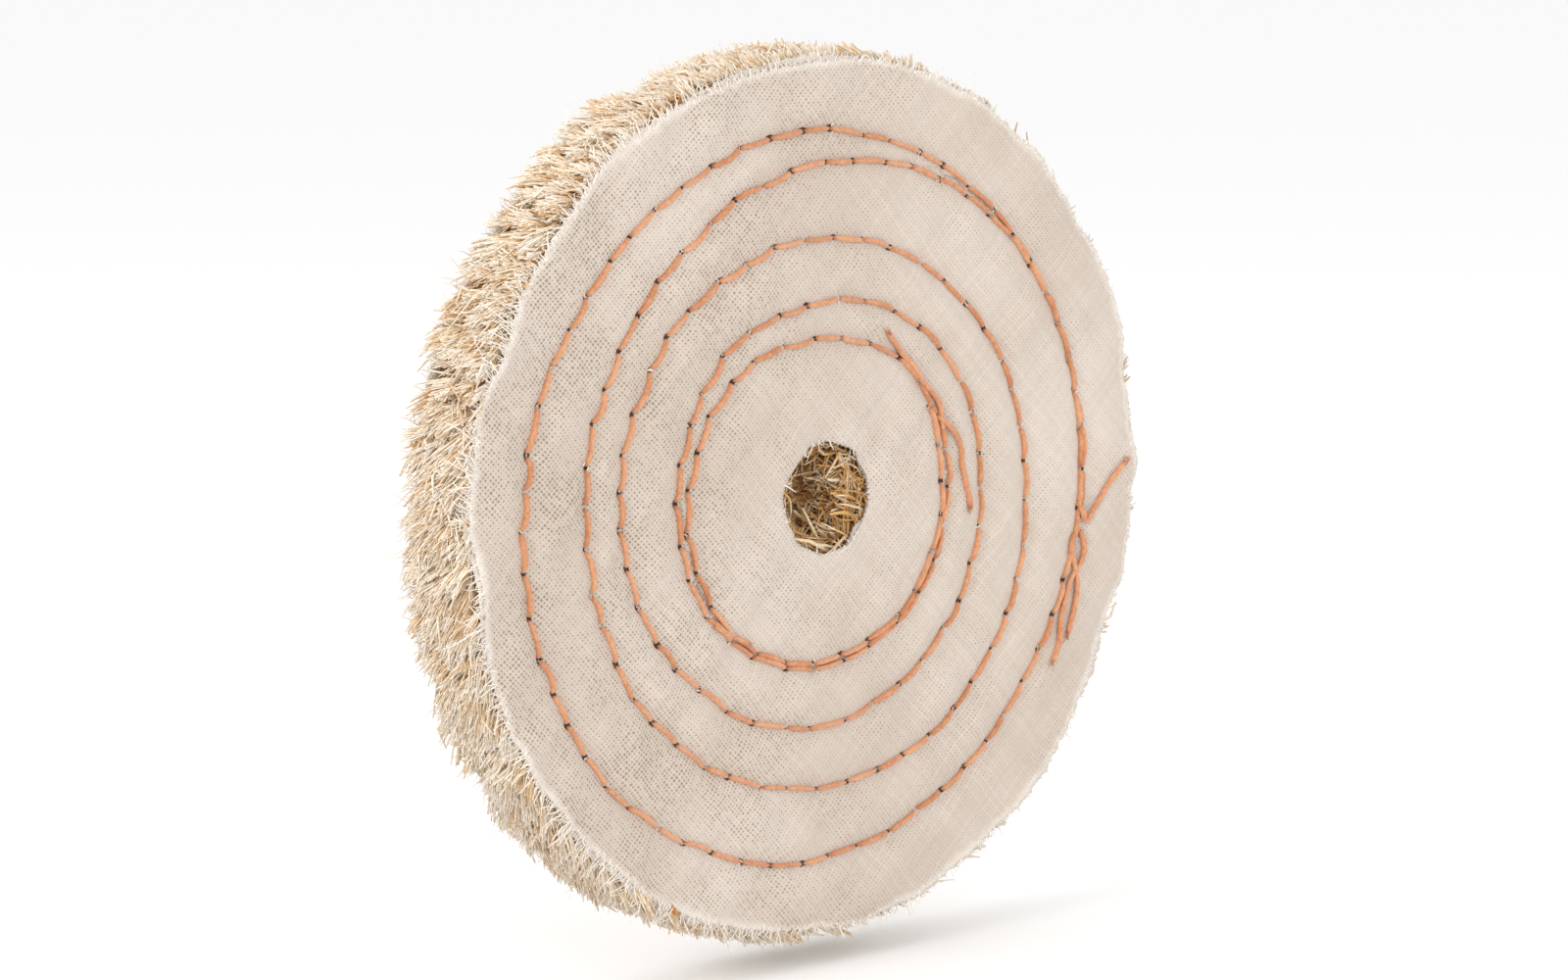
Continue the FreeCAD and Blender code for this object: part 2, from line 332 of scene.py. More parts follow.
def makeCottonFringe(name):
    # loose cotton yarn: paler than the cloth because light gets through it, matt
    material, tree, shader = newMaterial(name)
    strandMap = addNode(tree, "ShaderNodeUVMap", uv_map="strand").outputs[0]
    apart = addNode(tree, "ShaderNodeSeparateXYZ", {0: strandMap})
    place = addNode(tree, "ShaderNodeTexCoord").outputs["Object"]
    fine = addNode(tree, "ShaderNodeTexNoise", {"Vector": place, "Scale": 4000.0, "Detail": 2.0}).outputs[0]
    mixed = maths(tree, "MULTIPLY_ADD", fine, 0.4, maths(tree, "MULTIPLY", apart.outputs["Y"], 0.6))
    colour = blendColour(tree, mixed, linear("#E6D9CA"), linear("#FAF5EE"))
    tree.links.new(colour, shader.inputs["Base Color"])
    bump = addNode(tree, "ShaderNodeBump", {"Height": fine, "Strength": 0.4, "Distance": 0.00005}).outputs[0]
    tree.links.new(bump, shader.inputs["Normal"])
    shader.inputs["Roughness"].default_value = 0.9
    shader.inputs["Sheen Weight"].default_value = 0.2
    return material


def makeSisal(name):
    # sisal leaf fibre: straw to golden brown, darker towards the root as painted shade in the gaps between tufts,
    # dull gloss
    material, tree, shader = newMaterial(name)
    strandMap = addNode(tree, "ShaderNodeUVMap", uv_map="strand").outputs[0]
    apart = addNode(tree, "ShaderNodeSeparateXYZ", {0: strandMap})
    place = addNode(tree, "ShaderNodeTexCoord").outputs["Object"]
    streak = addNode(tree, "ShaderNodeTexNoise", {"Vector": place, "Scale": 2600.0, "Detail": 3.0}).outputs[0]
    patch = addNode(tree, "ShaderNodeTexNoise", {"Vector": place, "Scale": 300.0, "Detail": 2.0}).outputs[0]
    # painted shade: the ramp runs from dark golden brown at a fibre's root to cream at its tip, so the roots deep
    # between the tufts are painted dark
    rootShadeRamp = addNode(tree, "ShaderNodeValToRGB", {0: maths(
        tree, "ADD", apart.outputs["X"], maths(tree, "MULTIPLY_ADD", patch, 0.7, -0.36)
    )})
    stops = ((0.0, "#6E3F0C"), (0.22, "#AC7426"), (0.40, "#DCAE6A"), (0.60, "#EEDAB9"), (1.0, "#F5EADB"))
    while len(rootShadeRamp.color_ramp.elements) < len(stops):
        rootShadeRamp.color_ramp.elements.new(0.5)
    for element, (at, colour) in zip(rootShadeRamp.color_ramp.elements, stops):
        element.position = at
        element.color = linear(colour)
    clean = between(tree, apart.outputs["Y"], 0.0, 0.6, 0.0, 1.0)
    tint = blendColour(tree, clean, linear("#DDB87C"), linear("#FFFFFF"))
    colour = blendColour(tree, 0.8, rootShadeRamp.outputs[0], tint, "MULTIPLY")
    colour = blendColour(tree, between(tree, streak, 0.45, 0.75, 0.0, 0.30), colour, linear("#B07A34"))
    tree.links.new(colour, shader.inputs["Base Color"])
    bump = addNode(tree, "ShaderNodeBump", {"Height": streak, "Strength": 0.5, "Distance": 0.00012}).outputs[0]
    tree.links.new(bump, shader.inputs["Normal"])
    shader.inputs["Roughness"].default_value = 0.68
    shader.inputs["Sheen Weight"].default_value = 0.1
    return material


def makeThread(name):
    # dyed soft-twist sewing thread: salmon orange, with painted shade in the ply grooves and at the stitch ends,
    # matt with a little sheen
    material, tree, shader = newMaterial(name)
    strandMap = addNode(tree, "ShaderNodeUVMap", uv_map="strand").outputs[0]
    apart = addNode(tree, "ShaderNodeSeparateXYZ", {0: strandMap})
    place = addNode(tree, "ShaderNodeTexCoord").outputs["Object"]
    fine = addNode(tree, "ShaderNodeTexNoise", {"Vector": place, "Scale": 2200.0, "Detail": 4.0}).outputs[0]
    slow = addNode(tree, "ShaderNodeTexNoise", {"Vector": place, "Scale": 260.0, "Detail": 1.0}).outputs[0]
    mixed = maths(tree, "MULTIPLY_ADD", fine, 0.9, maths(tree, "MULTIPLY_ADD", slow, 0.5, -0.2))
    mixed = maths(tree, "MULTIPLY_ADD", apart.outputs["Y"], 0.25, mixed)
    # painted shade: darker where the fine noise, which is also the bump's height, sinks into the ply grooves
    colour = blendColour(tree, between(tree, mixed, 0.25, 0.95, 0.0, 1.0), linear("#BD774B"), linear("#DCA27A"))
    # painted shade: the stitch ends, where the thread dives into its needle hole, are painted dark brown
    dive = between(tree, maths(tree, "PINGPONG", apart.outputs["X"], 0.5), 0.0, 0.13, 0.75, 0.0)
    colour = blendColour(tree, dive, colour, linear("#8A4B25"))
    tree.links.new(colour, shader.inputs["Base Color"])
    bump = addNode(tree, "ShaderNodeBump", {"Height": fine, "Strength": 0.5, "Distance": 0.0001}).outputs[0]
    tree.links.new(bump, shader.inputs["Normal"])
    shader.inputs["Roughness"].default_value = 0.82
    shader.inputs["Sheen Weight"].default_value = 0.25
    return material


# the seam

seam = {
    # mm and degrees
    "firstRow": 18.5, "lastRow": 44.0, "rowGap": 0.62, "lastRowGap": 0.30, "stepDegrees": 45.0,
    "startDegrees": 60.0, "endDegrees": 1899.0, "stitch": 4.6,
    # percent of the way out at each step; None is sewn again just outside the turn before
    "way": [
        1.5, 1, 2, 3, 7.5, 9, 5.5, 0.5,
        None, None, None, None, None, 15, 17, 16.5,
        22.5, 25.5, 29, 32, 37.5, 46.5, 47, 44.5,
        48, 54.5, 61.5, 61.5, 63, 66, 68.5, 78,
        89.5, 91, 88, 94.5, 98.5, 100, 94.5, 93.5,
        None, None, None,
    ],
    "wobbleAlong": 0.55, "wobbleAside": 0.28, "bow": 0.22,              # hand-sewn unevenness, mm
}


def seamAnchors():
    turnSteps = int(round(360 / seam["stepDegrees"]))
    radii = []
    for i, way in enumerate(seam["way"]):
        if way is None:
            radii.append(radii[i - turnSteps] + seam["rowGap" if i < 3 * turnSteps else "lastRowGap"])
        else:
            radii.append(seam["firstRow"] + way / 100 * (seam["lastRow"] - seam["firstRow"]))
    return np.array(radii)


anchors = seamAnchors()


def seamRadius(degrees):
    # Catmull-Rom curve through the anchors
    place = np.clip(np.asarray(degrees) / seam["stepDegrees"] - 1, 0, len(anchors) - 1.001)
    i = place.astype(int)
    t = place - i
    p0, p1 = anchors[np.maximum(i - 1, 0)], anchors[i]
    p2, p3 = anchors[np.minimum(i + 1, len(anchors) - 1)], anchors[np.minimum(i + 2, len(anchors) - 1)]
    return 0.5 * (2 * p1 + (p2 - p0) * t + (2 * p0 - 5 * p1 + 4 * p2 - p3) * t ** 2
                  + (3 * p1 - p0 - 3 * p2 + p3) * t ** 3)


def needleHoles():
    # points one stitch apart along the seam, each a little off
    rng = np.random.default_rng(7)
    fine = np.arange(seam["startDegrees"], seam["endDegrees"], 0.1)
    x, z = onFace(fine, seamRadius(fine))
    walked = np.concatenate([[0], np.cumsum(np.hypot(np.diff(x), np.diff(z)))])
    wanted = np.arange(0, walked[-1], seam["stitch"])
    wanted = wanted + rng.uniform(-1, 1, len(wanted)) * seam["wobbleAlong"]
    degrees = np.interp(wanted, walked, fine)
    aside = np.clip(rng.normal(0, 0.6, len(wanted)), -1, 1) * seam["wobbleAside"]
    hx, hz = onFace(degrees, seamRadius(degrees) + aside)
    return np.stack([hx, hz], -1)


holes = needleHoles()
seamCount = 12
part = np.linspace(0, 1, seamCount, endpoint=False)
seamLine = holes[:-1, None, :] * (1 - part)[None, :, None] + holes[1:, None, :] * part[None, :, None]
seamLine = seamLine.reshape(-1, 2)
seamPlace = (np.arange(len(holes) - 1)[:, None] + part[None, :]).ravel()
seamWay = unit(np.gradient(seamLine, axis=0))
print("stage: seam laid out,", len(holes), "needle holes")


def nearSeam(x, z):
    # place along the seam in stitches, signed and plain distance in mm, of each point
    points = np.stack([x.ravel(), z.ravel()], -1).astype(np.float32)
    line = seamLine.astype(np.float32)
    lineSquare = (line ** 2).sum(1)
    best = np.concatenate([
        np.argmin(lineSquare[None, :] - 2 * chunk @ line.T, axis=1) for chunk in np.array_split(points, 24)
    ])
    gap = points - line[best]
    way = seamWay[best]
    forward = (gap * way).sum(1)
    signed = gap[:, 0] * way[:, 1] - gap[:, 1] * way[:, 0]
    place = seamPlace[best] + forward / seam["stitch"]
    plain = np.hypot(gap[:, 0], gap[:, 1])
    return place.reshape(x.shape), signed.reshape(x.shape), plain.reshape(x.shape)


clothSettings = {
    # mm
    "puff": 0.75, "reach": 1.7, "unevenPuff": 0.35,             # between the rows, and how far from a row it fills
    "pucker": 0.16, "puckerWidth": 1.3,                         # in the middle of a stitch
    "dimple": 0.35, "dimpleLength": 0.55, "dimpleWidth": 0.5,   # at a needle hole
    "hemStart": 44, "hemWidth": 7, "hemDrop": 0.35, "hemWave": 0.55,
    "centreRadius": 17, "centreWidth": 10, "centreDrop": 0.25,  # where an arbor's flanges press
    "grain": 0.035, "sunk": 0.15,
    "edgeSwing": 0.26, "edgeTooth": 0.20, "boreSwing": 0.20, "boreTooth": 0.14,
    "solidShare": 0.8,                                          # thickness as a share of the ply's
}


def clothHeight(x, z, place, plain, seed):
    # how far the cloth stands out of the flat stack: puff (1 - exp(-(d / reach)^2)) between the rows, a small
    # pucker in the middle of each stitch, a dimple at each needle hole and a wavy hem
    s = clothSettings
    r = np.hypot(x, z)
    soft = 1 + s["unevenPuff"] * smoothNoise(x, z, 9, seed)
    height = s["puff"] * soft * (1 - np.exp(-(plain / s["reach"]) ** 2))
    beside = np.exp(-(plain / s["puckerWidth"]) ** 2)
    height += s["pucker"] * beside * (0.5 - 0.5 * np.cos(2 * np.pi * place))
    toHole = np.abs(place - np.round(place)) * seam["stitch"]
    height -= s["dimple"] * np.exp(-(toHole / s["dimpleLength"]) ** 2 - (plain / s["dimpleWidth"]) ** 2)
    hem = np.clip((r - s["hemStart"]) / s["hemWidth"], 0, 1) ** 1.5
    height += hem * (s["hemWave"] * smoothNoise(x, z, 14, seed + 1) - s["hemDrop"])
    centre = np.clip((s["centreRadius"] - r) / s["centreWidth"], 0, 1)
    height -= s["centreDrop"] * centre
    height += s["grain"] * smoothNoise(x, z, 2.6, seed + 2)
    return height - s["sunk"]


def raggedEdge(angles, radius, swing, tooth, seed):
    # edge radius round the wheel: slow scissor wander plus a fine ragged tooth
    rng = np.random.default_rng(seed)
    edge = np.full(len(angles), float(radius))
    for mode in range(2, 13):
        edge += swing / math.sqrt(mode) * rng.normal() * np.cos(mode * angles + rng.uniform(0, 6.28))
    return edge + rng.uniform(-tooth, tooth, len(angles))


def clothDisc(name, side, level, edge, bore, rings, spokes, seed, material):
    # closed thin disc: point (r, a) at y = side * (level + height(x, z)) and again one thickness inside
    s = clothSettings
    angles = np.linspace(0, 2 * np.pi, spokes, endpoint=False)
    outer = raggedEdge(angles, edge, s["edgeSwing"], s["edgeTooth"], seed)
    inner = raggedEdge(angles, bore, s["boreSwing"], s["boreTooth"], seed + 50)
    share = np.linspace(0, 1, rings) ** 0.92
    r = inner[None, :] + share[:, None] * (outer - inner)[None, :]
    x, z = r * np.sin(angles), r * np.cos(angles)
    place, signed, plain = nearSeam(x, z)
    height = clothHeight(x, z, place, plain, 400 + (side > 0))
    top = np.stack([x, side * (level + height), z], -1)
    bottom = np.stack([x, side * (level + height - coverThick * s["solidShare"]), z], -1)
    verts = np.concatenate([top.reshape(-1, 3), bottom.reshape(-1, 3)])
    index = np.arange(rings * spokes).reshape(rings, spokes)
    nxt = np.roll(index, -1, axis=1)
    face = np.stack([index[:-1], nxt[:-1], nxt[1:], index[1:]], -1).reshape(-1, 4)
    back = face[:, ::-1] + rings * spokes
    rimOut = np.stack([index[-1], nxt[-1], nxt[-1] + rings * spokes, index[-1] + rings * spokes], -1)
    rimIn = np.stack([nxt[0], index[0], index[0] + rings * spokes, nxt[0] + rings * spokes], -1)
    quads = np.concatenate([face, back, rimOut, rimIn])
    if side > 0:
        quads = quads[:, ::-1]
    wide = np.concatenate([place.ravel(), place.ravel()])
    apart = np.concatenate([signed.ravel(), signed.ravel()])
    close = np.concatenate([plain.ravel(), plain.ravel()])
    seamUv = np.stack([wide, apart], -1)[quads]
    toEdge = (outer[None, :] - r).ravel()
    nearUv = np.stack([close, np.concatenate([toEdge, toEdge])], -1)[quads]
    flatUv = np.stack([verts[:, 0], verts[:, 2]], -1) / 110 + 0.5
    half = np.where(np.arange(len(verts)) < rings * spokes, 0.0, 0.5)
    bake = np.stack([flatUv[:, 0] * 0.5 + half, flatUv[:, 1]], -1)[quads]
    maps = {"seam": [seamUv], "near": [nearUv], "OFBake": [bake]}
    piece = meshPiece(name, verts, [quads], material, maps)
    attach(piece, "root")
    area = math.pi * (edge ** 2 - bore ** 2) * mm ** 2
    return piece, outer, inner, area


# frayed cotton at the cloth's edges

fringeSettings = {
    "mainYarnShare": 0.82,                     # of the yarns come from the direction that crosses the edge
    "spread": 0.16, "outward": 0.5, "alongYarn": 0.7,
    "length": 0.22, "lengthSpread": 3.0, "shortest": 0.35,      # mm
    "boreLength": 0.40, "boreSpread": 2.0, "boreShortest": 0.3, "boreTurn": 0.7,
    "curl": 0.22, "wave": 0.07, "thinnest": 0.05, "thickest": 0.115,
}


def fringe(name, side, level, edge, inner, seed, count, boreCount, longSide, material, lintCount=0):
    # cut ends of yarn along the weave directions: p(t) = edge point + yarn direction * length * t + curl * t^2,
    # with a small wave aside
    s = fringeSettings
    rng = np.random.default_rng(seed)
    pitchTurn = np.radians(muslinSettings["turnDegrees"])
    yarns = np.array([[math.cos(pitchTurn), math.sin(pitchTurn)], [-math.sin(pitchTurn), math.cos(pitchTurn)]])
    angles = (np.arange(count) + rng.uniform(-0.45, 0.45, count)) * 2 * np.pi / count
    spokes = np.linspace(0, 2 * np.pi, len(edge), endpoint=False)
    r = np.interp(angles, spokes, edge, period=2 * np.pi)
    out = np.stack([np.sin(angles), np.cos(angles)], -1)
    along = out @ yarns.T
    crossing, other = np.argmax(np.abs(along), 1), np.argmin(np.abs(along), 1)
    pick = np.where(rng.uniform(size=count) < s["mainYarnShare"], crossing, other)
    way = yarns[pick] * np.sign(along[np.arange(count), pick])[:, None]
    way = unit(s["alongYarn"] * way + rng.normal(0, s["spread"], (count, 2)) + s["outward"] * out)
    ragged = np.clip(0.55 + 0.62 * np.cos(angles - np.radians(longSide)), 0, 1)
    ragged = ragged * (1 + 0.5 * smoothNoise(angles * 50, 0 * angles, 11, seed))
    length = rng.gamma(s["lengthSpread"], s["length"], count) * (0.25 + 1.45 * ragged) + s["shortest"]
    startR = r - rng.uniform(0.15, 0.7, count)
    boreAngles = rng.uniform(0, 2 * np.pi, boreCount)
    boreR = np.interp(boreAngles, spokes, inner, period=2 * np.pi)
    boreOut = np.stack([np.sin(boreAngles), np.cos(boreAngles)], -1)
    boreWay = unit(-boreOut + rng.normal(0, s["boreTurn"], (boreCount, 2)))
    lint = holes[rng.integers(0, len(holes) // 3, lintCount) * 3]       # at some needle holes
    lint = lint + rng.normal(0, 0.18, (lintCount, 2))
    starts = np.concatenate([out * startR[:, None], boreOut * (boreR + 0.3)[:, None], lint])
    ways = np.concatenate([way, boreWay, unit(rng.normal(0, 1, (lintCount, 2)))])
    boreLength = rng.gamma(s["boreSpread"], s["boreLength"], boreCount) + s["boreShortest"]
    lengths = np.concatenate([length, boreLength, rng.uniform(0.3, 0.8, lintCount)])
    n, k = len(lengths), 6
    t = np.linspace(0, 1, k)[None, :, None]
    x, z = starts[:, 0], starts[:, 1]
    place, signed, plain = nearSeam(x, z)
    height = level + clothHeight(x, z, place, plain, 400 + (side > 0)) + 0.08
    height[count + boreCount:] += 0.22
    start = np.stack([x, side * height, z], -1)[:, None, :]
    way3 = np.stack([ways[:, 0], side * rng.normal(-0.06, 0.14, n), ways[:, 1]], -1)[:, None, :]
    curl = rng.normal(0, s["curl"], (n, 1, 3)) * lengths[:, None, None]
    wave = np.cross(way3, np.array([0, 1.0, 0])) * (s["wave"] * np.sin(rng.uniform(4, 12, (n, 1, 1)) * t))
    paths = start + way3 * lengths[:, None, None] * t + curl * t ** 2 + wave
    radii = rng.uniform(s["thinnest"], s["thickest"], (n, 1)) * (1 - 0.6 * np.linspace(0, 1, k)[None, :] ** 2)
    across = np.broadcast_to(np.array([0.0, 1.0, 0.0]), (n, 3)) + rng.normal(0, 0.1, (n, 3))
    verts, quads, caps = strands(paths, radii, 4, across, seed=seed)
    maps = strandMaps(n, k, 4, rng.uniform(0, 1, n))
    piece = meshPiece(name, verts, [quads, caps], material, maps)
    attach(piece, "root")
    return piece


# sisal plies

sisalSettings = {
    "tufts": 300, "fibres": 21,                          # tufts round each ply, fibres in a tuft
    "root": 47.0, "lean": 48.0, "leanSpread": 12.0,      # mm and degrees; they lean anticlockwise from the front
    "sway": 13.0, "halfWidth": 0.95, "halfDepth": 0.55,  # degrees and mm
    "fibreRadius": 0.165, "fan": 0.08, "coreRadius": 48.9, "tip": 52.0, "offCentre": 0.75,
    # on the hole's wall in each ply, and reaching into the hole, fewer in the front ply
    "boreFibres": 190, "boreBrush": 210, "frontBrush": 30,
}


def held(points, edge):
    # keeps fibres inside radius edge and under the covers: |y| <= 4.4 mm there, more past the cloth's edge
    reach = np.hypot(points[..., 0], points[..., 2])
    pull = np.minimum(1, edge / np.maximum(reach, 1e-6))
    points[..., 0] *= pull
    points[..., 2] *= pull
    cap = 4.4 + 1.2 * np.clip((reach - 50.0) / 1.5, 0, 1)
    points[..., 1] = np.clip(points[..., 1], -cap, cap)
    return points


def sisalTufts(low, high, seed):
    # tufts of cut yarn: root on the ply, way = out cos(lean) + back sin(lean), and fibres spread over an oval
    # round it: p(t) = root + wide a + deep b + long way t + curl t^2, with a fan of a across and a torn end
    s = sisalSettings
    rng = np.random.default_rng(seed)
    middle, thick = (low + high) / 2, high - low
    n, m = s["tufts"], s["fibres"]
    axis = np.array([0.0, 1.0, 0.0])
    angles = (np.arange(n) + rng.uniform(-0.8, 0.8, n)) * 2 * np.pi / n
    out = np.stack([np.sin(angles), 0 * angles, np.cos(angles)], -1)
    back = np.stack([-np.cos(angles), 0 * angles, np.sin(angles)], -1)
    level = middle + rng.uniform(-0.5, 0.5, n) * thick
    drift = smoothNoise(angles * 50, level * 1.6, 8, 90)     # tufts lie together in locks that cross the plies
    lean = np.radians(np.clip(s["lean"] + 9 * drift + rng.normal(0, s["leanSpread"], n), 15, 68))
    sway = np.clip(0.16 * smoothNoise(angles * 50, level, 9, 91)
                   + np.tan(np.radians(s["sway"])) * rng.normal(0, 1, n), -0.6, 0.6)
    way = unit(out * np.cos(lean)[:, None] + back * np.sin(lean)[:, None] + axis * sway[:, None])
    root = s["root"] + rng.uniform(-0.4, 1.0, n)
    full = s["tip"] - s["offCentre"] * np.sin(angles)        # the sisal stands a little further out on the left
    tip = full - 2.0 * rng.beta(1.3, 2.8, n) + 0.35 * smoothNoise(angles * 50, level, 6, 92)
    cosOut = (way * out).sum(1)
    length = -root * cosOut + np.sqrt(np.maximum(tip ** 2 - root ** 2 * (1 - cosOut ** 2), 4))
    start = out * root[:, None] + axis * (level - 0.45 * sway * length)[:, None]
    wide = unit(np.cross(way, out))
    deep = np.cross(wide, way)
    deep = deep * np.sign((deep * out).sum(1))[:, None]
    curl = rng.normal(0, 0.12, (n, 3))
    size = rng.uniform(0.7, 1.25, n)
    tone = np.clip(rng.beta(2.0, 1.7, n) + 0.12 * drift, 0, 1)

    t = np.linspace(0, 1, 5)
    paths = start[:, None, :] + way[:, None, :] * (0.80 * length[:, None] * t[None, :])[..., None]
    paths = held(paths + (curl * length[:, None])[:, None, :] * (t ** 2)[None, :, None], 51.0)
    shape = np.array([0.75, 1.0, 1.0, 0.8, 0.3])
    radii = (0.72 * s["halfWidth"] * size)[:, None] * shape[None, :]
    verts, quads, caps = strands(paths, radii, 8, deep, 0.12, 3, 1.5, 0.55, seed)
    # painted shade: the tuft's heart keeps to the dark golden brown start of the ramp, so it shows as shade in the
    # gaps between fibres
    grow = np.broadcast_to(0.04 + 0.30 * t, (n, 5))
    paintedShadeHeart = (verts, [quads, caps], strandMaps(n, 5, 8, tone, grow), 0.8)

    pick = np.repeat(np.arange(n), m)
    count = n * m
    a = rng.uniform(-1, 1, count)
    b = np.sqrt(1 - a ** 2) * rng.uniform(-0.5, 1.0, count)
    begin = start[pick] + wide[pick] * (a * s["halfWidth"] * size[pick])[:, None]
    begin = begin + deep[pick] * (b * s["halfDepth"])[:, None]
    loose = rng.choice([0.03, 0.08, 0.24], (count, 1), p=[0.70, 0.26, 0.04])
    fan = way[pick] + wide[pick] * (a * s["fan"])[:, None] + rng.normal(0, 1, (count, 3)) * loose
    long = length[pick] * rng.uniform(0.80, 1.04, count)
    bend = curl[pick] + rng.normal(0, 0.04, (count, 3))
    tt = np.linspace(0, 1, 4)
    fibrePaths = begin[:, None, :] + fan[:, None, :] * (long[:, None] * tt[None, :])[..., None]
    fibrePaths = fibrePaths + (bend * long[:, None])[:, None, :] * (tt ** 2)[None, :, None]
    edge = full[pick] - 0.1 + np.minimum(rng.gamma(1.1, 0.22, count), 1.3)
    fibrePaths = held(fibrePaths, edge[:, None])
    thin = s["fibreRadius"] * rng.uniform(0.55, 1.45, (count, 1)) * np.array([1.0, 1.0, 0.95, 0.5])[None, :]
    fibreTone = np.clip(tone[pick] + 0.12 + rng.normal(0, 0.26, count), 0, 1)
    verts, quads, caps = strands(fibrePaths, thin, 3, deep[pick], seed=seed + 1)
    # painted shade: the ramp place rises from the root to the tip and is lower for fibres on the under side of the
    # tuft
    grow = 0.02 + 0.98 * tt[None, :] * np.ones((count, 1)) + 0.12 * b[:, None]
    return [paintedShadeHeart, (verts, [quads, caps], strandMaps(count, 4, 3, fibreTone, grow), 3.4)]


def boreTangle(low, high, seed, brush):
    # cut ends on the wall of the hole: a bowed line between two points near the wall, and a brush of longer ones
    # that reach into the hole, thickest on one side
    s = sisalSettings
    rng = np.random.default_rng(seed)
    middle, thick = (low + high) / 2, high - low
    wall = s["boreFibres"]
    n = wall + brush
    reaching = np.arange(n) >= wall
    a0 = np.where(reaching, np.radians(rng.normal(92, 36, n)), rng.uniform(0, 2 * np.pi, n))
    a1 = a0 + rng.normal(0, 0.55, n)
    r1 = np.where(reaching, rng.uniform(1.6, 5.2, n), rng.uniform(5.2, 6.6, n))
    y0 = middle + rng.uniform(-0.7, 0.7, n) * thick
    y1 = y0 + rng.normal(0, 1.2, n)
    first = np.stack([7.0 * np.sin(a0), y0, 7.0 * np.cos(a0)], -1)
    last = np.stack([r1 * np.sin(a1), y1, r1 * np.cos(a1)], -1)
    t = np.linspace(0, 1, 6)
    paths = first[:, None, :] + (last - first)[:, None, :] * t[None, :, None]
    paths = paths + rng.normal(0, 0.45, (n, 1, 3)) * np.sin(np.pi * t)[None, :, None]
    paths = paths + rng.normal(0, 0.14, (n, 1, 3)) * np.sin(2.6 * np.pi * t)[None, :, None]
    paths[..., 1] = np.clip(paths[..., 1], -5.1, 5.1)
    thin = rng.choice([0.09, 0.17, 0.32], (n, 1), p=[0.40, 0.35, 0.25]) * (1 - 0.55 * t[None, :] ** 3)
    verts, quads, caps = strands(paths, thin, 4, rng.normal(0, 1, (n, 3)), seed=seed + 2, flat=0.6)
    # painted shade: ramp places rise from about 0.36 at the wall to 0.50 at the free end, a little darker towards
    # the wall
    grow = np.clip(0.36 + 0.14 * t[None, :] + rng.normal(0, 0.13, (n, 1)), 0.05, 0.9)
    return verts, [quads, caps], strandMaps(n, 6, 4, rng.beta(2.6, 1.2, n), grow), 0.6


def plyCore(low, high, seed):
    # the body of the ply: a profile turned about Y, its rim and bore roughened with noise
    middle = (low + high) / 2
    spokes = 300
    ringAngle = np.linspace(0, 2 * np.pi, spokes, endpoint=False)[:, None]
    edge = sisalSettings["coreRadius"]
    profile = np.array([
        [7.2, low + 0.1], [20, low + 0.02], [edge - 1, low + 0.02], [edge - 0.2, low + 0.3],
        [edge, middle], [edge - 0.2, high - 0.3], [edge - 1, high - 0.02], [20, high - 0.02],
        [7.2, high - 0.1], [6.8, middle + 0.35], [6.7, middle], [6.8, middle - 0.35],
    ])
    p = len(profile)
    rough = 0.35 * smoothNoise(ringAngle * 30, np.arange(p)[None, :] * 1.0, 2.5, seed + 3)
    rough = rough * np.array([1, 0, 0, 1, 1, 1, 0, 0, 1, 1, 1, 1])[None, :]
    radius = profile[None, :, 0] + rough
    core = np.stack([radius * np.sin(ringAngle), profile[None, :, 1] + 0 * radius, radius * np.cos(ringAngle)], -1)
    index = np.arange(spokes * p).reshape(spokes, p)
    turn = np.roll(index, -1, axis=0)
    quads = np.stack([index, turn, np.roll(turn, -1, 1), np.roll(index, -1, 1)], -1).reshape(-1, 4)
    ia, ip = np.meshgrid(np.arange(spokes), np.arange(p), indexing="ij")
    shade = np.array([0.05, 0.3, 0.2, 0.05, 0.05, 0.05, 0.2, 0.3, 0.05, 0.02, 0.05, 0.02])
    corners = [(0, 0), (1, 0), (1, 1), (0, 1)]
    bake = np.stack([np.stack([(ia + da) / spokes, (ip + dp) / p], -1) for da, dp in corners], 2).reshape(-1, 4, 2)
    strand = np.stack([
        np.stack([shade[(ip + dp) % p], 0.3 + 0 * ip], -1) for da, dp in corners
    ], 2).reshape(-1, 4, 2)
    return core.reshape(-1, 3), [quads], {"strand": [strand], "OFBake": [bake]}, 0.4


def sisalPly(name, low, high, seed, brush, material):
    # one ply of cut sisal cloth
    parts = sisalTufts(low, high, seed) + [boreTangle(low, high, seed + 20, brush), plyCore(low, high, seed)]
    verts, faces, maps = joined(parts)
    piece = meshPiece(name, verts, faces, material, maps)
    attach(piece, "root")
    return piece


# sewing thread

threadSettings = {
    "halfWidth": 0.42, "flat": 0.70, "points": 22, "sides": 10, "gap": 0.47, "dive": 1.7, "rise": 0.14,
}


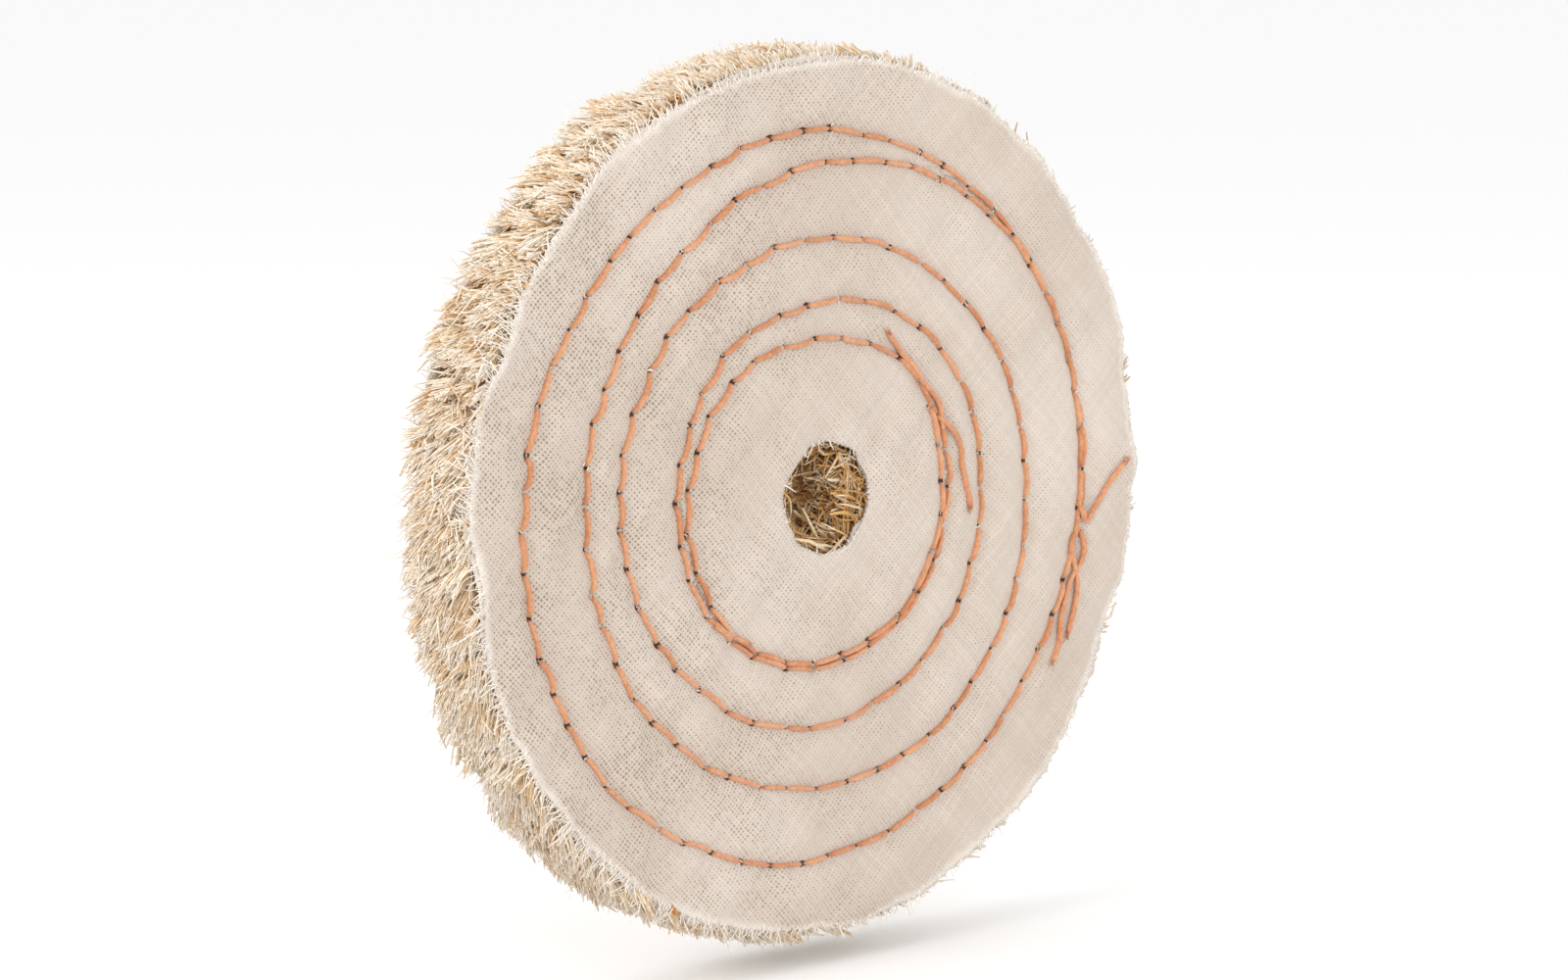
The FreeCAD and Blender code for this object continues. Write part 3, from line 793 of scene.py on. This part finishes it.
def stitchPaths(side, seed):
    # each stitch: along = (L / 2 - gap) sin(pi t / 2), aside = bow cos(pi t / 2), height flat and then diving as
    # ((|t| - 0.78) / 0.22)^1.6
    s = threadSettings
    rng = np.random.default_rng(seed)
    a, b = holes[:-1], holes[1:]
    n, k = len(a), s["points"]
    chord = b - a
    length = np.linalg.norm(chord, axis=1)
    way = chord / length[:, None]
    aside = np.stack([way[:, 1], -way[:, 0]], -1)
    t = np.linspace(-1, 1, k)[None, :]
    half = (length / 2 - s["gap"])[:, None]
    bow = rng.normal(0.3, 0.6, (n, 1)) * seam["bow"]
    flatPlace = (a + b)[:, None, :] / 2 + way[:, None, :] * (half * np.sin(np.pi * t / 2))[..., None]
    flatPlace = flatPlace + aside[:, None, :] * (bow * np.cos(np.pi * t / 2))[..., None]
    x, z = flatPlace[..., 0], flatPlace[..., 1]
    place, signed, plain = nearSeam(x, z)
    height = clothHeight(x, z, place, plain * 0, 400 + (side > 0)) + s["rise"]
    height = height + 0.10 * np.cos(np.pi * t / 2) * rng.uniform(0.3, 1.2, (n, 1))
    height = height - s["dive"] * (np.clip(np.abs(t) - 0.78, 0, 1) / 0.22) ** 1.6
    paths = np.stack([x, side * (halfStack + height), z], -1)
    return paths, np.stack([aside[:, 0], 0 * aside[:, 0], aside[:, 1]], -1)


def curvePoints(points, count):
    # Catmull-Rom curve through a few given points, count samples
    p = np.asarray(points, float)
    padded = np.concatenate([[2 * p[0] - p[1]], p, [2 * p[-1] - p[-2]]])
    place = np.linspace(0, len(p) - 1.0001, count)
    i = place.astype(int)
    t = (place - i)[:, None]
    p0, p1, p2, p3 = padded[i], padded[i + 1], padded[i + 2], padded[i + 3]
    return 0.5 * (2 * p1 + (p2 - p0) * t + (2 * p0 - 5 * p1 + 4 * p2 - p3) * t ** 2
                  + (3 * p1 - p0 - 3 * p2 + p3) * t ** 3)


def looseEnd(points, count=40):
    # (degrees, radius, height above the cloth) given one by one, as a smooth line on the front face
    p = np.array(points, float)
    x, z = onFace(p[:, 0], p[:, 1])
    line = curvePoints(np.stack([x, z, p[:, 2]], -1), count)
    place, signed, plain = nearSeam(line[:, 0], line[:, 1])
    height = clothHeight(line[:, 0], line[:, 1], place, plain, 400)
    return np.stack([line[:, 0], -(halfStack + height + line[:, 2]), line[:, 1]], -1)


def threadPiece(name, paths, across, loose, replaced, seed, material):
    # stitches and loose ends as soft three-ply tubes: radius (1 + 0.1 cos(3 a + twist)), wider than high
    s = threadSettings
    rng = np.random.default_rng(seed)
    parts = []
    if paths is not None:
        n, k, _ = paths.shape
        taper = 0.82 + 0.18 * np.cos(np.linspace(-1, 1, k) * 1.4)
        radii = s["halfWidth"] * rng.uniform(0.88, 1.1, (n, 1)) * taper
        verts, quads, caps = strands(paths, radii, s["sides"], across, 0.10, 3, 15.0, s["flat"], seed)
        parts.append((verts, [quads, caps], strandMaps(n, k, s["sides"], rng.uniform(0, 1, n)), 6.0))
    for line in loose:
        k = len(line)
        radii = s["halfWidth"] * (0.95 + 0.08 * np.sin(np.linspace(0, 9, k)))[None, :]
        up = np.array([[0.0, 1.0, 0.0]])
        length = np.linalg.norm(np.diff(line, axis=0), axis=1).sum()
        side = np.cross(unit(line[-1] - line[0]), up[0])[None, :]
        verts, quads, caps = strands(line[None], radii, s["sides"], side, 0.10, 3, 3.6 * length, s["flat"], seed)
        along = np.linspace(0.3, 0.7, k)[None, :]
        parts.append((verts, [quads, caps], strandMaps(1, k, s["sides"], rng.uniform(0.2, 1, 1), along), 0.4))
        tuft = 16
        ends = np.repeat(line[-1][None], tuft, 0) + rng.normal(0, 0.12, (tuft, 3))
        heading = unit(line[-1] - line[-3]) + rng.normal(0, 0.28, (tuft, 3))
        reach = rng.uniform(0.3, 1.1, (tuft, 1, 1))
        wisps = ends[:, None, :] + heading[:, None, :] * reach * np.linspace(-0.3, 1, 5)[None, :, None]
        upright = np.broadcast_to(up, (tuft, 3)) + 0.1
        verts, quads, caps = strands(wisps, np.full((tuft, 5), 0.05), 3, upright, seed=seed)
        along = np.broadcast_to(np.linspace(0.3, 0.7, 5), (tuft, 5))
        parts.append((verts, [quads, caps], strandMaps(tuft, 5, 3, rng.uniform(0.4, 1, tuft), along), 0.2))
    verts, faces, maps = joined(parts)
    piece = meshPiece(name, verts, faces, material, maps)
    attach(piece, "root")
    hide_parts(replaced)


# build it

muslin = makeMuslin("muslinCloth")
cottonYarn = makeCottonFringe("cottonYarn")
sisalFibre = makeSisal("sisalFibre")
sewingThread = makeThread("orangeSewingThread")

frontCover, frontEdge, frontBore, coverArea = clothDisc(
    "muslinCoverFront", -1, halfStack, coverEdge + 0.4, 6.45, 84, 560, 21, muslin)
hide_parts("front_cover")
backCover, backEdge, backBore, backArea = clothDisc(
    "muslinCoverBack", 1, halfStack, coverEdge + 0.2, 6.5, 84, 560, 22, muslin)
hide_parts("back_cover")
frontLining, liningEdge, liningBore, liningArea = clothDisc(
    "muslinLiningFront", -1, halfStack - coverThick, coverEdge + 0.45, 6.6, 26, 560, 23, muslin)
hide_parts("front_lining")
backLining, backLiningEdge, backLiningBore, backLiningArea = clothDisc(
    "muslinLiningBack", 1, halfStack - coverThick, coverEdge + 0.4, 6.6, 26, 560, 24, muslin)
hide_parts("back_lining")
print("stage: muslin discs")

coverFringe, liningLevel = halfStack - 0.1, halfStack - 0.45
frontFringe = fringe(
    "muslinFringeFront", -1, coverFringe, frontEdge, frontBore, 31, 1500, 34, 262, cottonYarn, 130)
backFringe = fringe(
    "muslinFringeBack", 1, coverFringe, backEdge, backBore, 32, 1200, 34, 262, cottonYarn, 90)
liningFringe = fringe(
    "muslinLiningFringeFront", -1, liningLevel, liningEdge, liningBore, 33, 1000, 16, 240, cottonYarn)
backLiningFringe = fringe(
    "muslinLiningFringeBack", 1, liningLevel, backLiningEdge, backLiningBore, 34, 700, 30, 250, cottonYarn)
print("stage: frayed edges")

for number in range(1, 7):
    node = "sisal_ply_%d" % number
    lowest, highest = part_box(node)
    brush = sisalSettings["boreBrush" if number > 1 else "frontBrush"]
    ply = sisalPly("sisalPly%d" % number, lowest[1] / mm, highest[1] / mm, 60 + number, brush, sisalFibre)
    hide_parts(node)
print("stage: sisal plies")

# loose ends of thread on the front face: degrees, radius and height above the cloth in mm
looseEnds = {
    "needleStart": [
        (65, 19.2, 0.5), (69.3, 20.0, 0.75), (75.7, 20.9, 0.5), (81.5, 21.3, 0.35), (88.7, 21.6, 0.3),
        (97.2, 22.3, 0.3),
    ],
    "bobbinStart": [
        (70, 19.3, 0.45), (62.3, 20.0, 0.55), (53.6, 19.6, 0.5), (44.4, 19.6, 0.5), (35.2, 19.9, 0.35),
        (27.1, 20.6, 0.3),
    ],
    "missed": [(232, 21.4, 0.3), (228, 20.9, 0.35), (224, 20.4, 0.35), (218, 19.8, 0.3)],
    "needleEnd": [
        (95, 41.4, 0.2), (97.3, 42.1, 0.45), (98.7, 42.4, 0.65), (98.2, 42.9, 0.7), (94.1, 44.7, 0.4),
        (89.9, 48.1, 0.4),
    ],
    "bobbinEnd": [
        (100, 41.7, 0.25), (103.7, 41.0, 0.35), (106.1, 41.8, 0.5), (109, 42.9, 0.5), (112.1, 43.5, 0.4),
        (117.2, 43.8, 0.3),
    ],
    "caught": [
        (100.5, 42.0, 0.25), (102.3, 42.7, 0.35), (105.1, 42.8, 0.4), (108, 42.1, 0.5), (112.9, 41.9, 0.4),
        (118.5, 42.8, 0.35), (122.5, 43.2, 0.3),
    ],
}
frontPaths, frontAcross = stitchPaths(-1, 71)
threadPiece(
    "needleThread", frontPaths, frontAcross,
    [looseEnd(looseEnds["needleStart"]), looseEnd(looseEnds["needleEnd"]), looseEnd(looseEnds["missed"], 16)],
    "needle_thread", 72, sewingThread)
backPaths, backAcross = stitchPaths(1, 73)
threadPiece(
    "bobbinThread", backPaths, backAcross,
    [looseEnd(looseEnds["bobbinStart"]), looseEnd(looseEnds["bobbinEnd"])],
    "bobbin_thread", 74, sewingThread)
threadPiece(
    "caughtThread", None, None, [looseEnd(looseEnds["caught"])], "caught_thread", 75, sewingThread)
print("stage: sewing thread")


# floor, light and camera

def pointAt(thing, target):
    thing.rotation_euler = (Vector(target) - thing.location).to_track_quat("-Z", "Y").to_euler()


def areaLight(name, place, size, power, colour):
    light = bpy.data.lights.new(name, "AREA")
    light.shape = "DISK"
    light.size = size
    light.energy = power
    light.color = colour
    thing = bpy.data.objects.new(name, light)
    thing.location = place
    pointAt(thing, (0, 0, 0))
    bpy.context.scene.collection.objects.link(thing)


studioSettings = {
    # metres and watts: place, size, power, colour of each lamp
    "keyLight": ((-0.50, -0.95, 0.50), 0.5, 2.2, (1.0, 0.985, 0.965)),
    "fillLight": ((0.8, -0.6, 0.35), 0.8, 0.7, (1.0, 0.99, 0.98)),
    "sideLight": ((-0.95, 0.02, 0.35), 0.6, 5.0, (1.0, 0.985, 0.965)),
    "worldStrength": 0.97, "floorColour": "#FDFDFD", "floorReach": 12.0, "floorGap": 0.0005,
    "sensorWidth": 36, "lens": 94.9, "shiftX": -0.0063, "shiftY": 0.0017, "clipStart": 0.02,
    "azimuth": -41.15, "elevation": 7.63, "distance": 0.4812,
}
floorMesh = bpy.data.meshes.new("floor")
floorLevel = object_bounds()[0][2] - studioSettings["floorGap"]
reach = studioSettings["floorReach"]
floorCorners = [(x * reach, y * reach, floorLevel) for x, y in ((-1, -1), (1, -1), (1, 1), (-1, 1))]
floorMesh.from_pydata(floorCorners, [], [(0, 1, 2, 3)])
floor = bpy.data.objects.new("floor", floorMesh)
bpy.context.scene.collection.objects.link(floor)
floorPaint, _, floorShader = newMaterial("paleFloor")
floorShader.inputs["Base Color"].default_value = linear(studioSettings["floorColour"])
floorShader.inputs["Roughness"].default_value = 0.9
floorMesh.materials.append(floorPaint)

world = bpy.data.worlds.new("studio")
bpy.context.scene.world = world
world.use_nodes = True
world.node_tree.nodes["Background"].inputs[0].default_value = (1, 1, 1, 1)
world.node_tree.nodes["Background"].inputs[1].default_value = studioSettings["worldStrength"]
for lamp in ("keyLight", "fillLight", "sideLight"):
    areaLight(lamp, *studioSettings[lamp])

bpy.context.scene.view_settings.view_transform = "Standard"

cameraData = bpy.data.cameras.new("camera")
cameraData.sensor_width = studioSettings["sensorWidth"]
cameraData.lens = studioSettings["lens"]
cameraData.shift_x = studioSettings["shiftX"]
cameraData.shift_y = studioSettings["shiftY"]
cameraData.clip_start = studioSettings["clipStart"]
camera = bpy.data.objects.new("camera", cameraData)
azimuth, elevation = math.radians(studioSettings["azimuth"]), math.radians(studioSettings["elevation"])
distance = studioSettings["distance"]
camera.location = (
    distance * math.sin(azimuth) * math.cos(elevation),
    -distance * math.cos(azimuth) * math.cos(elevation),
    distance * math.sin(elevation),
)
pointAt(camera, (0, 0, 0))
bpy.context.scene.collection.objects.link(camera)
bpy.context.scene.camera = camera
print("stage: floor, light and camera")
